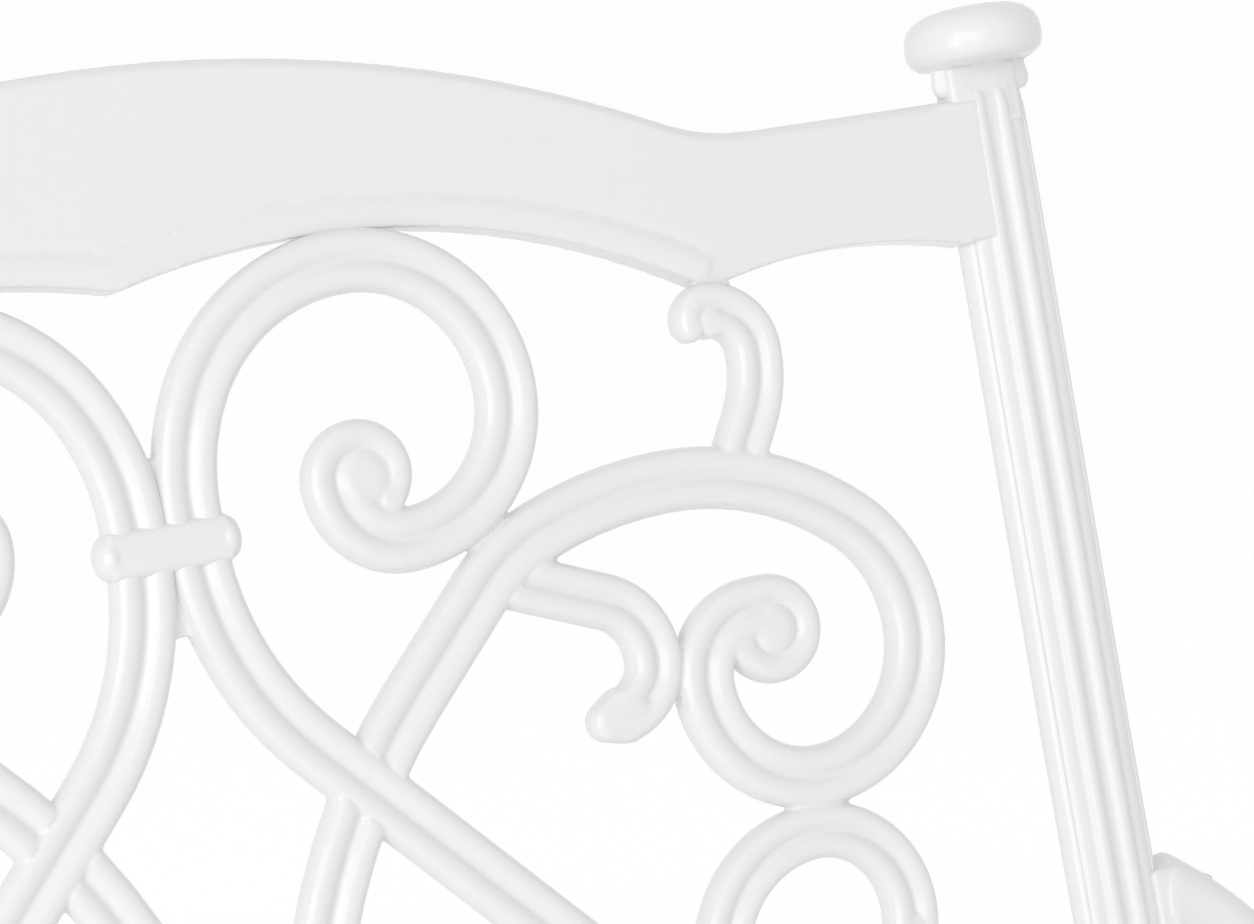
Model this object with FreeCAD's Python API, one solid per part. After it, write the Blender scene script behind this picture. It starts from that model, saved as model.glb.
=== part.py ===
import FreeCAD, Part
import math
import os

# Cast-aluminium garden armchair with a scrollwork back, in millimetres and degrees.
# The chair faces -Y, +Z is up, and right means +X, as seen from the front.
# The origin is on the floor, in the middle of the chair's box.

# Back frame
RECLINE = 15.0
BACK_RISE = 456.0
POST_SPACING = 430.0
POST_WIDTH = 22.4
POST_DEPTH = 9.0
POST_TOP = 16.0
POST_NECK = 13.0
REED_SPAN = 18.8
REED_PROUD = 0.8
REED_EDGE = 0.8
REED_VALLEY = 3.4
POST_FRONT_EDGE = 2.0
POST_CORNER = 2.5

# Crest rail
CREST_THICK = 10.0
CREST_SHOULDER = 14.2
CREST_RISE = 33.5
CROWN_RADIUS = 320.0
SHOULDER_RADIUS = 50.0
ARCH_MIDDLE = 45.0
OUTER_CUSP = 137.0
OUTER_ARCH_RISE = 4.4
CREST_EDGE = 2.0
BEAD_HEIGHT = 7.5
BEAD_GROOVE_WIDTH = 1.8
BEAD_GROOVE_DEPTH = 0.7
LOWER_RAIL_HEIGHT = 34.0

# Scroll bars: a cast bar with two soft reeds and a valley between them
SCROLL_WIDTH = 14.2
SCROLL_DEPTH = 8.5
SCROLL_PROUD = 3.5
SCROLL_CREST = 3.8
SCROLL_VALLEY = 1.7
LOOP_LAP = 0.6

# Scroll centre lines: each pair is a bend's radius and its turn, left turns positive;
# a pair with no turn is a straight run of that length.
TIE_DROP = 54.5
TIE_OFFSET = 6.3
LENS_PATH = [(70.0, 43.0), (77.0, 0.0), (75.0, -43.0)]
LOOP_RISE_PATH = [(6.5, 0.0), (52.0, -28.0), (43.0, -62.0)]
LOOP_FALL_PATH = [(32.5, -90.0), (29.0, -90.0), (14.5, -90.0)]
SIDE_SCROLL_PATH = [
    (190.0, -21.0), (131.0, -24.0), (28.5, 0.0), (42.0, -25.0), (95.0, -20.0), (68.0, -40.0),
    (33.3, -50.0), (30.0, -90.0), (25.0, -90.0), (15.0, -90.0), (3.5, 0.0)]
LOWER_LOOP_FALL_PATH = [(32.5, -90.0), (29.0, -75.0)]
LOWER_SIDE_PATH = [
    (190.0, -21.0), (131.0, -24.0), (28.5, 0.0), (42.0, -25.0), (95.0, -20.0), (68.0, -40.0),
    (33.3, -50.0), (30.0, -90.0)]
LOOP_CURL_RADIUS = 13.3
LOOP_CURL_TURNS = [(0.0, -90.0), (1.3, -140.0)]
SIDE_CURL_RADIUS = 12.4
SIDE_CURL_TURNS = [(0.0, -250.0)]
BOSS_LAP = 0.4

# Small hooks: start on the bar that carries them, start heading and path
SIDE_HOOK = ((70.0, -73.0), -22.0, [(27.3, 0.0), (15.0, -68.0), (11.5, -85.0)])
TOP_HOOK = ((136.0, -60.0), 60.0, [(9.6, 0.0), (30.0, 30.0), (10.5, 90.0)])
CANE_HOOK = ((96.0, -193.0), 65.0, [(36.8, 0.0), (28.0, -65.0), (21.0, -95.0)])

# Collars that tie the bars together
COLLAR_HALF_LENGTH = 15.2
COLLAR_HEIGHT = 10.0
COLLAR_PROUD = 1.8
COLLAR_CORNER = 3.0
WEB_HALF_WIDTH = 4.0
WEB_HALF_LENGTH = 19.0
WEB_DROP = 3.0

# Finials
CAP_RADIUS = 16.6
CAP_HEIGHT = 15.3
CAP_RIM = 4.5
CAP_EDGE = 4.5
CAP_BEVEL = 4.6
RING_RADIUS = 13.2
RING_HEIGHT = 4.5
RING_BEVEL = 1.1
SPIGOT_RADIUS = 2.0
SPIGOT_LENGTH = 12.0

# Seat and legs
SEAT_HEIGHT = 420.0
SEAT_DEPTH = 376.0
GRILLE_THICK = 6.0
GRILLE_RIM = 20.0
GRILLE_OVERHANG = 6.0
LATTICE_PITCH = 68.0
LATTICE_BAR = 10.0
SEAT_RAIL_HEIGHT = 26.0
SEAT_RAIL_THICK = 12.0
SIDE_RAIL_INSET = 6.5
APRON_DROP = 22.0
APRON_SAG = 6.6
APRON_HALF_WIDTH = 120.0
FRONT_SPACING = 476.0
LEG_BEND_RADIUS = 110.0
LEG_BEND_DROP = 4.0
REAR_SPLAY = 16.0
NECK_RADIUS = 120.0
NECK_TURN = 35.0
NECK_STRAIGHT = 20.0
TOE_RADIUS = 250.0
TOE_TURN = 12.0
TOE_HEIGHT = 120.0
BRACKET_RADIUS = 62.0
BRACKET_WIDTH = 9.0
BRACKET_THICK = 7.0
GLIDE_RADIUS = 8.0
GLIDE_HEIGHT = 6.0
STEM_WIDTH = 4.0
STEM_LENGTH = 5.0

# Arms
ARM_DROP = 171.0
ARM_WIDTH = 24.0
ARM_THICK = 13.0
ARM_BEVEL_WIDTH = 5.5
ARM_BEVEL_DROP = 4.0
ARM_TAIL = 12.0
ARM_SWEEP_PATH = [(14.0, 0.0), (150.0, -16.0), (212.0, 0.0)]
ARM_LEVEL_RADIUS = 220.0
HAND_REACH = 26.0
HAND_ROLL = (26.0, -200.0)
LUG_WIDTH = 10.0
LUG_LENGTH = 44.0
FLARE_LENGTH = 40.0
TENON_RADIUS = 4.0
TENON_LENGTH = 6.0

# Bolts
BOLT_RADIUS = 2.5
BOLT_HEAD_FLATS = 8.0
BOLT_HEAD_HEIGHT = 3.5
ARM_BOLT_BITE = 9.0
SEAT_BOLT_BITE = 14.0
KNUCKLE_MARGIN = 4.0
CLEARANCE = 0.2

vector = FreeCAD.Vector
ORIGIN = vector(0, 0, 0)
RIGHT = vector(1, 0, 0)
UP = vector(0, 0, 1)
FRONT = vector(0, -1, 0)
FAR = 2000.0

cusp_height = SEAT_HEIGHT + BACK_RISE
post_x = POST_SPACING / 2
front_x = FRONT_SPACING / 2
arm_x = post_x + POST_WIDTH / 2 + ARM_WIDTH / 2
lug_outer = post_x + POST_WIDTH / 2 + LUG_WIDTH
scroll_half = SCROLL_WIDTH / 2
scroll_back = SCROLL_PROUD - SCROLL_DEPTH
lean_sin = math.sin(math.radians(RECLINE))
lean_cos = math.cos(math.radians(RECLINE))


class Board:
    """A flat drawing board: across and up lie in it, and out stands square to it."""

    def __init__(self, origin, across, up):
        self.origin = origin
        self.across = across
        self.up = up
        self.out = across.cross(up)

    def point(self, across, up, out=0.0):
        return self.origin + self.across * across + self.up * up + self.out * out


back_board = Board(ORIGIN, RIGHT, UP)


def side_board(x):
    """The board of a side view at x: across is forwards."""
    return Board(vector(x, 0, 0), FRONT, UP)


def direction(heading):
    angle = math.radians(heading)
    return math.cos(angle), math.sin(angle)


def moved(point, heading, distance):
    along = direction(heading)
    return point[0] + along[0] * distance, point[1] + along[1] * distance


def wire(place, start, moves):
    """A wire of lines, each one end point, and arcs, each a point on the way and an end point."""
    edges = []
    here = start
    for move in moves:
        if len(move) == 2:
            edges.append(Part.Arc(place(*here), place(*move[0]), place(*move[1])).toShape())
        else:
            edges.append(Part.LineSegment(place(*here), place(*move[0])).toShape())
        here = move[-1]
    return Part.Wire(edges)


def polygon(points):
    return points[0], [(point,) for point in points[1:] + points[:1]]


def prism(board, outline, low, high):
    """The outline drawn on the board, solid from low to high along the board's out."""
    face = Part.Face(wire(lambda across, up: board.point(across, up, low), *outline))
    return face.extrude(board.out * (high - low))


def fused(solids):
    """One solid of several, without seams between faces that run on where that leaves it sound."""
    if len(solids) == 1:
        return solids[0]
    whole = solids[0].multiFuse(solids[1:])
    merged = whole.removeSplitter()
    return merged if merged.isValid() else whole


def largest(shape):
    return max(shape.Solids, key=lambda solid: solid.Volume)


def mirrored(shape):
    return shape.mirror(ORIGIN, RIGHT)


def section(board, at, heading, outline, edgewise):
    """The outline as a face square to the heading: flat on the board, or edgewise, turned a quarter."""
    left = direction(heading + 90)

    def place(first, second):
        side, out = (second, first) if edgewise else (first, second)
        return board.point(at[0] + left[0] * side, at[1] + left[1] * side, out)

    return Part.Face(wire(place, *outline))


def path_step(at, heading, size, turn):
    """The point and heading after one bend or straight run, and the bend's centre."""
    if not turn:
        return moved(at, heading, size), heading, None
    side = math.copysign(90, turn)
    centre = moved(at, heading + side, size)
    return moved(centre, heading + turn - side, size), heading + turn, centre


def path_end(at, heading, path):
    for size, turn in path:
        at, heading, centre = path_step(at, heading, size, turn)
    return at, heading


def swept(board, outline, at, heading, path, edgewise=False):
    """A bar of one section along bends and straight runs that meet tangent to tangent."""
    solids = []
    for size, turn in path:
        face = section(board, at, heading, outline, edgewise)
        along = direction(heading)
        at, heading, centre = path_step(at, heading, size, turn)
        if centre:
            axis = board.out * math.copysign(1, turn)
            solids.append(face.revolve(board.point(*centre), axis, abs(turn)))
        else:
            solids.append(face.extrude((board.across * along[0] + board.up * along[1]) * size))
    return fused(solids)


def lean_back(shape):
    """Stands a shape of the upright back board at its place in the reclined back."""
    placed = shape.copy()
    placed.rotate(ORIGIN, RIGHT, -RECLINE)
    placed.translate(UP * cusp_height)
    return placed


def cylinder(radius, length, base, axis):
    return Part.makeCylinder(radius, length, base, axis)


# The back's scrollwork

tie_point = (TIE_OFFSET, -TIE_DROP)
middle_up = path_end(tie_point, -90, LENS_PATH)[0][1]
loop_top = path_end(tie_point, 90, LOOP_RISE_PATH)[0][1] + scroll_half
arch_rise = loop_top - LOOP_LAP
arch_radius = (ARCH_MIDDLE ** 2 + arch_rise ** 2) / (2 * arch_rise)
arch_centre = (ARCH_MIDDLE, arch_rise - arch_radius)


def scroll_outline():
    valley = SCROLL_PROUD - SCROLL_VALLEY
    return polygon([
        (-scroll_half, scroll_back), (scroll_half, scroll_back),
        (SCROLL_CREST, SCROLL_PROUD), (0, valley), (-SCROLL_CREST, SCROLL_PROUD)])


def scroll_bar(at, heading, path):
    return swept(back_board, scroll_outline(), at, heading, path)


def scroll_envelope(at, heading, path):
    """A scroll bar with its valley filled, to cut what runs up against the bar."""
    high = SCROLL_PROUD + CLEARANCE
    outline = polygon([
        (-scroll_half, scroll_back), (scroll_half, scroll_back), (SCROLL_CREST, SCROLL_PROUD),
        (SCROLL_CREST, high), (-SCROLL_CREST, high), (-SCROLL_CREST, SCROLL_PROUD)])
    return swept(back_board, outline, at, heading, path)


def button(at, radius):
    """A flat button that fills the eye of a curl."""
    return cylinder(radius, SCROLL_DEPTH, back_board.point(at[0], at[1], scroll_back), back_board.out)


def round_end(at, heading):
    """A bar's rounded end: half of its section, flat on top, turned about the end of its centre line."""
    half = polygon([
        (0, scroll_back), (scroll_half, scroll_back), (SCROLL_CREST, SCROLL_PROUD), (0, SCROLL_PROUD)])
    face = section(back_board, at, heading, half, False)
    return face.revolve(back_board.point(*at), back_board.out * -1, 180)


def curl(at, heading, radius, turns):
    """The bar's outer reed wound on round a button, each turn tightened by its first number."""
    middle = scroll_half / 2
    valley = SCROLL_PROUD - SCROLL_VALLEY
    outline = polygon([
        (-middle, scroll_back), (middle, scroll_back),
        (SCROLL_CREST - middle, SCROLL_PROUD), (-middle, valley)])
    reed_start = moved(at, heading + 90, middle)
    path = []
    for tighten, turn in turns:
        path.append((radius - middle - tighten, turn))
    reed = swept(back_board, outline, reed_start, heading, path)
    eye = moved(at, heading - 90, radius - scroll_half)
    return [reed, button(eye, radius - scroll_half + BOSS_LAP)]


def hook(at, heading, path):
    end, end_heading = path_end(at, heading, path)
    return scroll_bar(at, heading, path).fuse(round_end(end, end_heading))


side_start = (TIE_OFFSET, middle_up)


def upper_quarter():
    """The upper right quarter: a loop and lens bar, a side scroll that passes behind it, and hooks."""
    loop_path = LOOP_RISE_PATH + LOOP_FALL_PATH
    loop = curl(*path_end(tie_point, 90, loop_path), LOOP_CURL_RADIUS, LOOP_CURL_TURNS)
    loop.append(scroll_bar(tie_point, 90, loop_path))
    side = curl(*path_end(side_start, 90, SIDE_SCROLL_PATH), SIDE_CURL_RADIUS, SIDE_CURL_TURNS)
    side.append(scroll_bar(side_start, 90, SIDE_SCROLL_PATH))
    hooks = [hook(*SIDE_HOOK), hook(*TOP_HOOK), hook(*CANE_HOOK)]
    return woven(loop, loop_path, side, SIDE_SCROLL_PATH, hooks)


def lower_quarter():
    """The lower right quarter, drawn upside down: the same bars with plain rounded ends."""
    loop_path = LOOP_RISE_PATH + LOWER_LOOP_FALL_PATH
    loop = [hook(tie_point, 90, loop_path)]
    side = [hook(side_start, 90, LOWER_SIDE_PATH)]
    quarter = woven(loop, loop_path, side, LOWER_SIDE_PATH, [])
    return [solid.mirror(vector(0, 0, middle_up), UP) for solid in quarter]


def woven(loop, loop_path, side, side_path, hooks):
    """A quarter's solids: the loop's bar stays whole, the side bar and the hooks stop at it."""
    front_room = [scroll_envelope(tie_point, -90, LENS_PATH), scroll_envelope(tie_point, 90, loop_path)]
    side_room = scroll_envelope(side_start, 90, side_path)
    right = Part.makeBox(FAR, FAR, FAR, vector(0, -FAR / 2, middle_up))
    solids = []
    for one in [scroll_bar(tie_point, -90, LENS_PATH)] + loop:
        solids.append(one.common(right))
    for one in side:
        solids += one.cut(front_room).common(right).Solids
    for one in hooks:
        solids.append(largest(one.cut(front_room + [side_room])))
    return solids


def scroll_panel():
    """The whole scrollwork in one casting."""
    right = upper_quarter() + lower_quarter()
    left = [mirrored(solid) for solid in right]
    webs = [tie_web(up) for up in collar_heights.values()]
    return right[0].multiFuse(right[1:] + left + webs)


collar_heights = {"upper": -TIE_DROP, "middle": middle_up, "lower": 2 * middle_up + TIE_DROP}


def tie_web(up):
    """The thin web that closes the narrow gap between two tied bars, above and below their collar."""
    outline = polygon([
        (-WEB_HALF_WIDTH, up - WEB_HALF_LENGTH), (WEB_HALF_WIDTH, up - WEB_HALF_LENGTH),
        (WEB_HALF_WIDTH, up + WEB_HALF_LENGTH), (-WEB_HALF_WIDTH, up + WEB_HALF_LENGTH)])
    return prism(back_board, outline, scroll_back, SCROLL_PROUD - WEB_DROP)


def collar(up):
    """A cast collar round the two bars that meet on the centre line."""
    half_height = COLLAR_HEIGHT / 2
    straight = COLLAR_HALF_LENGTH - COLLAR_CORNER
    short = half_height - COLLAR_CORNER
    half = [
        (straight, up - half_height), (COLLAR_HALF_LENGTH, up - short),
        (COLLAR_HALF_LENGTH, up + short), (straight, up + half_height)]
    outline = polygon(half + [(-x, height) for x, height in reversed(half)])
    return prism(back_board, outline, scroll_back, SCROLL_PROUD + COLLAR_PROUD)


# The back's frame

def arch_up(x):
    """The height of the crest rail's inner arch at x."""
    return arch_centre[1] + math.sqrt(arch_radius ** 2 - (x - ARCH_MIDDLE) ** 2)


crest_end = post_x - REED_SPAN / 2
outer_cusp_up = arch_up(OUTER_CUSP)


def arched_edge():
    """The right half of the edge that faces the scrollwork, from the middle cusp to the post."""
    outer_middle = (OUTER_CUSP + crest_end) / 2
    return [
        ((ARCH_MIDDLE, arch_rise), (OUTER_CUSP, outer_cusp_up)),
        ((outer_middle, outer_cusp_up + OUTER_ARCH_RISE), (crest_end, outer_cusp_up))]


def both_halves(start, moves):
    """Closes a right half outline, from one point of the centre line to another, with its mirror image."""
    corners = [start] + [move[-1] for move in moves]
    closing = []
    for index in reversed(range(len(moves))):
        reverse = [point for point in moves[index][:-1]] + [corners[index]]
        closing.append(tuple((-x, up) for x, up in reverse))
    return start, moves + closing


def crest_outline():
    bend = math.acos(1 - CREST_RISE / (CROWN_RADIUS + SHOULDER_RADIUS))
    crown_top = CREST_SHOULDER + CREST_RISE
    crown_centre = crown_top - CROWN_RADIUS
    shoulder_x = (CROWN_RADIUS + SHOULDER_RADIUS) * math.sin(bend)
    shoulder_centre = CREST_SHOULDER + SHOULDER_RADIUS

    def crown(angle):
        return CROWN_RADIUS * math.sin(angle), crown_centre + CROWN_RADIUS * math.cos(angle)

    def shoulder(angle):
        along = SHOULDER_RADIUS * math.sin(angle)
        return shoulder_x - along, shoulder_centre - SHOULDER_RADIUS * math.cos(angle)

    top = [
        ((crest_end, CREST_SHOULDER),), ((shoulder_x, CREST_SHOULDER),),
        (shoulder(bend / 2), crown(bend)), (crown(bend / 2), crown(0))]
    return both_halves((0, 0), arched_edge() + top)


def crest_rail():
    solid = prism(back_board, crest_outline(), -CREST_THICK, 0)
    low = CREST_SHOULDER - CLEARANCE
    bevelled = []
    for edge in solid.Edges:
        box = edge.BoundBox
        if box.ZMin > low and box.YLength < CLEARANCE:
            bevelled.append(edge)
    return solid.makeChamfer(CREST_EDGE, bevelled).cut(bead_grooves())


def bead_grooves():
    """The fine groove that sets off a bead along the crest rail's arched edge."""
    radius = arch_radius + BEAD_HEIGHT
    start_angle = math.degrees(math.acos(-ARCH_MIDDLE / radius))
    end_angle = math.degrees(math.acos((OUTER_CUSP - ARCH_MIDDLE) / radius))
    start = moved(arch_centre, start_angle, radius)
    outline = polygon([(-BEAD_GROOVE_WIDTH / 2, 0), (0, -BEAD_GROOVE_DEPTH), (BEAD_GROOVE_WIDTH / 2, 0)])
    groove = swept(back_board, outline, start, start_angle - 90, [(radius, end_angle - start_angle)])
    return [groove, mirrored(groove)]


def lower_outline():
    """The rail above the seat: its arched edge mirrors the crest rail's, and its foot is straight."""
    cusp = 2 * middle_up
    foot = cusp - LOWER_RAIL_HEIGHT
    moves = []
    for move in arched_edge():
        moves.append(tuple((x, cusp - up) for x, up in move))
    return both_halves((0, cusp), moves + [((crest_end, foot),), ((0, foot),)])


def lower_rail():
    return prism(back_board, lower_outline(), -CREST_THICK, 0)


def rail_room(outline):
    """A rail's outline from its back to clear of the scrollwork's front, to trim the scrollwork."""
    return prism(back_board, outline, -CREST_THICK, SCROLL_PROUD + CLEARANCE)


def reeded_outline():
    """The section of posts and legs: bevelled corners, and two reeds with a valley in front."""
    half = POST_WIDTH / 2
    reed = REED_SPAN / 2
    right = [
        (half - POST_CORNER, -POST_DEPTH), (half, POST_CORNER - POST_DEPTH), (half, -POST_FRONT_EDGE),
        (reed, -REED_EDGE), (reed / 2, REED_PROUD)]
    return polygon(right + [(0, -REED_VALLEY)] + [(-x, depth) for x, depth in reversed(right)])


def back_front(up):
    """Forward distance and height of the back's front plane at a height along the slope."""
    return -up * lean_sin, cusp_height + up * lean_cos


rail_top = SEAT_HEIGHT - GRILLE_THICK
rail_middle = rail_top - SEAT_RAIL_HEIGHT / 2
rail_bottom = rail_top - SEAT_RAIL_HEIGHT
flank_middle = (POST_DEPTH - POST_CORNER + POST_FRONT_EDGE) / 2


def back_plane_at(height):
    """Forward distance of the back's front plane at a height above the floor."""
    return (cusp_height - height) * lean_sin / lean_cos


rear_rail_front = back_plane_at(rail_middle) - flank_middle / lean_cos + SEAT_RAIL_THICK / 2
front_rail_back = rear_rail_front + SEAT_DEPTH - SEAT_RAIL_THICK
front_crest = front_rail_back + SEAT_RAIL_THICK / 2 + flank_middle
floor_cut = Part.makeBox(FAR, FAR, FAR, vector(-FAR / 2, -FAR / 2, GLIDE_HEIGHT - FAR))


def foot_middle(at, heading, path):
    """Forward distance of the middle of a leg where its straight last run meets its glide."""
    at, heading = path_end(at, heading, path)
    along = direction(heading)
    centre = moved(at, heading - 90, POST_DEPTH / 2)
    return centre[0] + along[0] * (GLIDE_HEIGHT - centre[1]) / along[1]


rear_start = back_front(POST_TOP)
bend_up = (rail_bottom - LEG_BEND_DROP - cusp_height) / lean_cos
rear_bends = [(POST_TOP - bend_up, 0.0), (LEG_BEND_RADIUS, -RECLINE - REAR_SPLAY)]
rear_foot = foot_middle(rear_start, RECLINE - 90, rear_bends)

arm_start = (back_front(-ARM_DROP)[0] - ARM_TAIL, back_front(-ARM_DROP)[1])
arm_fall = sum(turn for size, turn in ARM_SWEEP_PATH)
arm_sweep = ARM_SWEEP_PATH + [(ARM_LEVEL_RADIUS, -arm_fall)]
arm_level = path_end(arm_start, 0, arm_sweep)[0]
neck_shift = 2 * NECK_RADIUS * (1 - math.cos(math.radians(NECK_TURN)))
neck_height = 2 * NECK_RADIUS * math.sin(math.radians(NECK_TURN))
front_start = (front_crest - neck_shift, arm_level[1] - ARM_THICK)
arm_path = arm_sweep + [(front_start[0] + HAND_REACH - arm_level[0], 0.0), HAND_ROLL]
front_straight = front_start[1] - NECK_STRAIGHT - neck_height - TOE_HEIGHT
front_bends = [
    (NECK_STRAIGHT, 0.0), (NECK_RADIUS, NECK_TURN), (NECK_RADIUS, -NECK_TURN),
    (front_straight, 0.0), (TOE_RADIUS, TOE_TURN)]
front_foot = foot_middle(front_start, -90, front_bends)


def stem_box(x, forward, grow):
    """The square stem of a glide, or the hole for it."""
    width = STEM_WIDTH + 2 * grow
    corner = vector(x - width / 2, -forward - width / 2, GLIDE_HEIGHT)
    return Part.makeBox(width, width, STEM_LENGTH + grow, corner)


def leg(x, at, heading, path, foot):
    """A reeded bar down to its glide, with the hole for the glide's stem."""
    solid = swept(side_board(x), reeded_outline(), at, heading, path + [(FAR / 4, 0.0)], edgewise=True)
    return solid.cut([floor_cut, stem_box(x, foot, CLEARANCE)])


def knuckle_heights():
    return rail_bottom - KNUCKLE_MARGIN, rail_top + KNUCKLE_MARGIN


def knuckle(x, low, high, front):
    """A plain block that closes the valley between the reeds where a bolt or a finial goes in."""
    half = REED_SPAN / 4
    outline = polygon([(x - half, low), (x + half, low), (x + half, high), (x - half, high)])
    return prism(back_board, outline, front - POST_DEPTH + POST_CORNER, front + REED_PROUD)


def finial_axis():
    return post_x, -flank_middle


def rear_upright(rails):
    """Post and rear leg in one bar, notched for the back rails that lap onto it."""
    solid = leg(post_x, rear_start, RECLINE - 90, rear_bends, rear_foot)
    x, out = finial_axis()
    base = back_board.point(x, POST_TOP - SPIGOT_LENGTH - CLEARANCE, out)
    socket = lean_back(cylinder(SPIGOT_RADIUS + CLEARANCE, SPIGOT_LENGTH + CLEARANCE, base, UP))
    low, high = [(height - cusp_height) / lean_cos for height in knuckle_heights()]
    blocks = [knuckle(post_x, low, high, 0), knuckle(post_x, POST_TOP - POST_NECK, POST_TOP, 0)]
    holes = [socket, arm_bolt_hole(), seat_bolt_hole(post_x, rear_bolt_forward)]
    return largest(solid.fuse([lean_back(block) for block in blocks]).cut(rails + holes))


def finial():
    """A mushroom cap on a ring, turned in one, with a spigot into the post."""
    x, out = finial_axis()
    ring_top = POST_TOP + RING_HEIGHT
    neck = RING_RADIUS - RING_BEVEL
    spigot_end = POST_TOP - SPIGOT_LENGTH
    outline = ((0, spigot_end), [
        ((SPIGOT_RADIUS, spigot_end),), ((SPIGOT_RADIUS, POST_TOP),),
        ((neck, POST_TOP),), ((RING_RADIUS, POST_TOP + RING_HEIGHT / 2),), ((neck, ring_top),)]
        + cap_moves(neck, ring_top) + [((0, spigot_end),)])
    face = Part.Face(wire(lambda side, up: back_board.point(x + side, up, out), *outline))
    return lean_back(face.revolve(back_board.point(x, 0, out), UP, 360))


def cap_moves(neck, low):
    """The cap's profile: a flare up to its rim, an upright rim, a bevel and a dome."""
    rim = low + CAP_RIM
    top = low + CAP_HEIGHT
    dome_x = CAP_RADIUS - CAP_BEVEL
    dome_low = rim + CAP_EDGE + (top - rim - CAP_EDGE) / 2
    rise = top - dome_low
    dome = (dome_x ** 2 + rise ** 2) / (2 * rise)
    dome_angle = 90 - math.degrees(math.asin(dome_x / dome))
    return [
        ((CAP_RADIUS, rim),), ((CAP_RADIUS, rim + CAP_EDGE),), ((dome_x, dome_low),),
        (moved((0, top - dome), (dome_angle + 90) / 2, dome), (0, top))]


# Arms and front legs

def arm_outline():
    half = ARM_WIDTH / 2
    flat = half - ARM_BEVEL_WIDTH
    return polygon([
        (-half, -ARM_THICK), (half, -ARM_THICK), (half, -ARM_BEVEL_DROP),
        (flat, 0), (-flat, 0), (-half, -ARM_BEVEL_DROP)])


def arm_bolt_seat():
    """Under the head of an arm's bolt, on the lug's outer side, level with the middle of the post's flank."""
    middle = -ARM_DROP - ARM_THICK / 2
    forward, height = back_front(middle)
    return vector(lug_outer, flank_middle * lean_cos - forward, height - flank_middle * lean_sin)


def arm_bolt_hole():
    return cross_hole(arm_bolt_seat(), LUG_WIDTH + ARM_BOLT_BITE)


def cross_hole(seat, length):
    """The clearance hole of a bolt that goes in along -X."""
    return cylinder(BOLT_RADIUS + CLEARANCE, length + CLEARANCE, seat, RIGHT * -1)


def arm():
    """The arm: a bevelled bar with a rolled hand end and a narrow lug, bolted to the post's flank."""
    bar = swept(side_board(arm_x), arm_outline(), arm_start, 0, arm_path, edgewise=True)
    mortise = cylinder(TENON_RADIUS + CLEARANCE, TENON_LENGTH + CLEARANCE, tenon_base(), UP)
    return bar.cut([lug_room(), mortise, arm_bolt_hole()])


def lug_room():
    """What the arm's outer side loses beside its lug, and along the flare from there to its full width."""
    lug_end = arm_start[0] + LUG_LENGTH
    beyond = lug_outer + ARM_WIDTH
    corners = [
        (lug_outer, -FAR), (lug_outer, lug_end),
        (lug_outer + ARM_WIDTH - LUG_WIDTH, lug_end + FLARE_LENGTH),
        (beyond, lug_end + FLARE_LENGTH), (beyond, -FAR)]
    return prism(plan, polygon(corners), -FAR, 0)


def tenon_base():
    return vector(front_x, POST_DEPTH / 2 - front_start[0], front_start[1])


def front_leg():
    """Front leg and swan-necked arm support in one bar, with a tenon into the arm."""
    solid = leg(front_x, front_start, -90, front_bends, front_foot)
    tenon = cylinder(TENON_RADIUS, TENON_LENGTH, tenon_base(), UP)
    block = knuckle(front_x, *knuckle_heights(), front_crest)
    return solid.fuse([tenon, block]).cut(seat_bolt_hole(front_x, front_bolt_forward))


# Seat

rear_bolt_forward = rear_rail_front - SEAT_RAIL_THICK / 2
front_bolt_forward = front_rail_back + SEAT_RAIL_THICK / 2
rear_rail_end = post_x - POST_WIDTH / 2
front_rail_end = front_x - POST_WIDTH / 2
plan = Board(ORIGIN, RIGHT, FRONT)


def seat_bolt_seat(x, forward):
    """Under the head of a seat rail's bolt, on a leg's outer flank."""
    return vector(x + POST_WIDTH / 2, -forward, rail_middle)


def seat_bolt_hole(x, forward):
    return cross_hole(seat_bolt_seat(x, forward), POST_WIDTH + SEAT_BOLT_BITE)


def rear_seat_rail():
    solid = Part.makeBox(2 * rear_rail_end, SEAT_RAIL_THICK, SEAT_RAIL_HEIGHT,
                         vector(-rear_rail_end, -rear_rail_front, rail_bottom))
    hole = seat_bolt_hole(post_x, rear_bolt_forward)
    return solid.cut([hole, mirrored(hole)])


def front_seat_rail():
    """The front rail, whose lower edge drops in two arches to a cusp in the middle."""
    quarter = APRON_HALF_WIDTH / 2
    cusp = rail_bottom - APRON_DROP
    moves = [
        ((quarter, rail_bottom - APRON_SAG), (APRON_HALF_WIDTH, rail_bottom)),
        ((front_rail_end, rail_bottom),), ((front_rail_end, rail_top),), ((0, rail_top),)]
    outline = both_halves((0, cusp), moves)
    low = front_rail_back
    solid = prism(back_board, outline, low, low + SEAT_RAIL_THICK)
    hole = seat_bolt_hole(front_x, front_bolt_forward)
    return solid.cut([hole, mirrored(hole)])


def side_rail():
    """A side rail between the rear rail's front face and the front rail's back face."""
    rear_outer = rear_rail_end - SIDE_RAIL_INSET
    front_outer = front_rail_end - SIDE_RAIL_INSET
    corners = [
        (rear_outer - SEAT_RAIL_THICK, rear_rail_front), (rear_outer, rear_rail_front),
        (front_outer, front_rail_back), (front_outer - SEAT_RAIL_THICK, front_rail_back)]
    return prism(plan, polygon(corners), -rail_top, -rail_bottom)


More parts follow.
